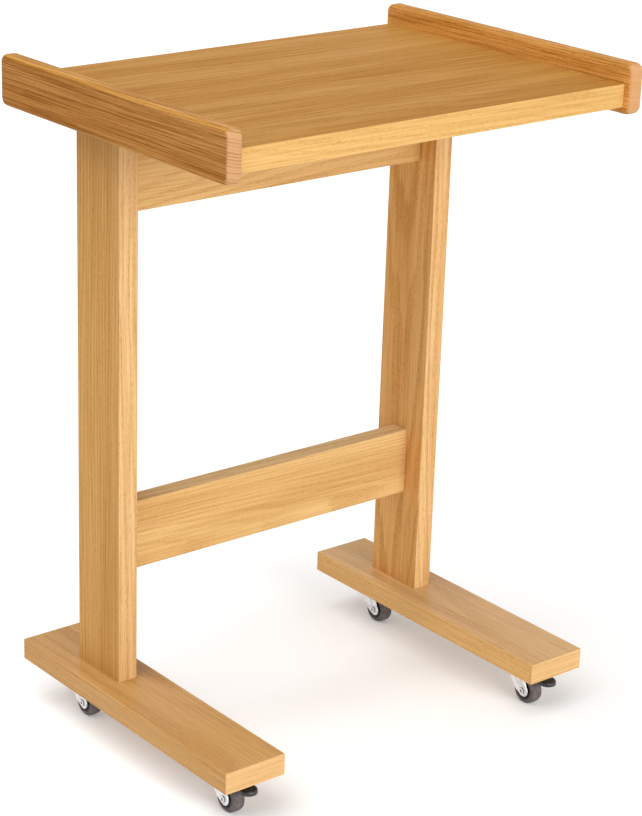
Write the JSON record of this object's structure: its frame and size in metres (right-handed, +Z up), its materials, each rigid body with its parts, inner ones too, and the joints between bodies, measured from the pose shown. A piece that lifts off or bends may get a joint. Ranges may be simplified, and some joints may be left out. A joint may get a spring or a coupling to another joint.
{
  "type": "mobile side table",
  "caption": "Oak side table whose board columns stand on low feet with swivel castors, brake pedals at the front and raised end rails.",
  "frame": {"origin": "on the floor, under the middle of the top", "axes": "+X to the right along the top, +Y from the front to the back, +Z up"},
  "size_m": [0.55, 0.4, 0.76],
  "materials": {
    "oak_top": "satin lacquered oak veneer, grain along X",
    "oak_edge": "satin lacquered oak edge band",
    "oak_rail": "satin lacquered solid oak, grain along Y",
    "oak_column": "satin lacquered oak, grain along Z",
    "oak_cross": "satin lacquered oak, grain along X",
    "oak_foot": "satin lacquered oak, grain along Y",
    "beech": "plain beech dowel",
    "zinc_sheet": "bright zinc plated pressed steel",
    "zinc_screw": "bright zinc plated screw steel",
    "bearing_steel": "polished ball steel",
    "pedal_paint": "satin black paint on pressed steel",
    "core_plastic": "black moulded nylon",
    "tread_rubber": "dark grey thermoplastic rubber"
  },
  "bodies": {
    "table": {"table_top": "oak_top", "top_front_band": "oak_edge", "top_rear_band": "oak_edge", "left_rail": "oak_rail", "right_rail": "oak_rail", "left_column": "oak_column", "right_column": "oak_column", "apron": "oak_cross", "stretcher": "oak_cross", "left_foot": "oak_foot", "right_foot": "oak_foot", "left_foot_front_band": "oak_edge", "left_foot_rear_band": "oak_edge", "right_foot_front_band": "oak_edge", "right_foot_rear_band": "oak_edge", "rail_dowels": "beech", "frame_dowels": "beech", "top_dowels": "beech", "column_screws": "zinc_screw", "front_left_castor_plate": "zinc_sheet", "front_left_plate_screws": "zinc_screw", "front_left_king_rivet": "zinc_sheet", "front_right_castor_plate": "zinc_sheet", "front_right_plate_screws": "zinc_screw", "front_right_king_rivet": "zinc_sheet", "rear_left_castor_plate": "zinc_sheet", "rear_left_plate_screws": "zinc_screw", "rear_left_king_rivet": "zinc_sheet", "rear_right_castor_plate": "zinc_sheet", "rear_right_plate_screws": "zinc_screw", "rear_right_king_rivet": "zinc_sheet"},
    "front_left_swivel": {"front_left_fork": "zinc_sheet", "front_left_balls": "bearing_steel", "front_left_axle": "zinc_sheet", "front_left_brake_pin": "zinc_sheet"},
    "front_left_wheel": {"front_left_wheel_core": "core_plastic", "front_left_tyre": "tread_rubber"},
    "front_left_pedal": {"front_left_brake_pedal": "pedal_paint"},
    "front_right_swivel": {"front_right_fork": "zinc_sheet", "front_right_balls": "bearing_steel", "front_right_axle": "zinc_sheet", "front_right_brake_pin": "zinc_sheet"},
    "front_right_wheel": {"front_right_wheel_core": "core_plastic", "front_right_tyre": "tread_rubber"},
    "front_right_pedal": {"front_right_brake_pedal": "pedal_paint"},
    "rear_left_swivel": {"rear_left_fork": "zinc_sheet", "rear_left_balls": "bearing_steel", "rear_left_axle": "zinc_sheet"},
    "rear_left_wheel": {"rear_left_wheel_core": "core_plastic", "rear_left_tyre": "tread_rubber"},
    "rear_right_swivel": {"rear_right_fork": "zinc_sheet", "rear_right_balls": "bearing_steel", "rear_right_axle": "zinc_sheet"},
    "rear_right_wheel": {"rear_right_wheel_core": "core_plastic", "rear_right_tyre": "tread_rubber"}
  },
  "joints": [
    {"name": "front_left_swivel_turn", "type": "hinge", "parent": "table", "child": "front_left_swivel", "pos_m": [-0.218, -0.131, 0.0455], "axis": [0, 0, 1], "continuous": true},
    {"name": "front_left_wheel_spin", "type": "hinge", "parent": "front_left_swivel", "child": "front_left_wheel", "pos_m": [-0.218, -0.149, 0.017], "axis": [1, 0, 0], "continuous": true},
    {"name": "front_left_brake_press", "type": "hinge", "parent": "front_left_swivel", "child": "front_left_pedal", "pos_m": [-0.218, -0.144, 0.0385], "axis": [1, 0, 0], "range_deg": [0, 7.5]},
    {"name": "front_right_swivel_turn", "type": "hinge", "parent": "table", "child": "front_right_swivel", "pos_m": [0.218, -0.131, 0.0455], "axis": [0, 0, 1], "continuous": true},
    {"name": "front_right_wheel_spin", "type": "hinge", "parent": "front_right_swivel", "child": "front_right_wheel", "pos_m": [0.218, -0.149, 0.017], "axis": [1, 0, 0], "continuous": true},
    {"name": "front_right_brake_press", "type": "hinge", "parent": "front_right_swivel", "child": "front_right_pedal", "pos_m": [0.218, -0.144, 0.0385], "axis": [1, 0, 0], "range_deg": [0, 7.5]},
    {"name": "rear_left_swivel_turn", "type": "hinge", "parent": "table", "child": "rear_left_swivel", "pos_m": [-0.218, 0.139, 0.0455], "axis": [0, 0, 1], "continuous": true},
    {"name": "rear_left_wheel_spin", "type": "hinge", "parent": "rear_left_swivel", "child": "rear_left_wheel", "pos_m": [-0.218, 0.121, 0.017], "axis": [1, 0, 0], "continuous": true},
    {"name": "rear_right_swivel_turn", "type": "hinge", "parent": "table", "child": "rear_right_swivel", "pos_m": [0.218, 0.139, 0.0455], "axis": [0, 0, 1], "continuous": true},
    {"name": "rear_right_wheel_spin", "type": "hinge", "parent": "rear_right_swivel", "child": "rear_right_wheel", "pos_m": [0.218, 0.121, 0.017], "axis": [1, 0, 0], "continuous": true}
  ]
}
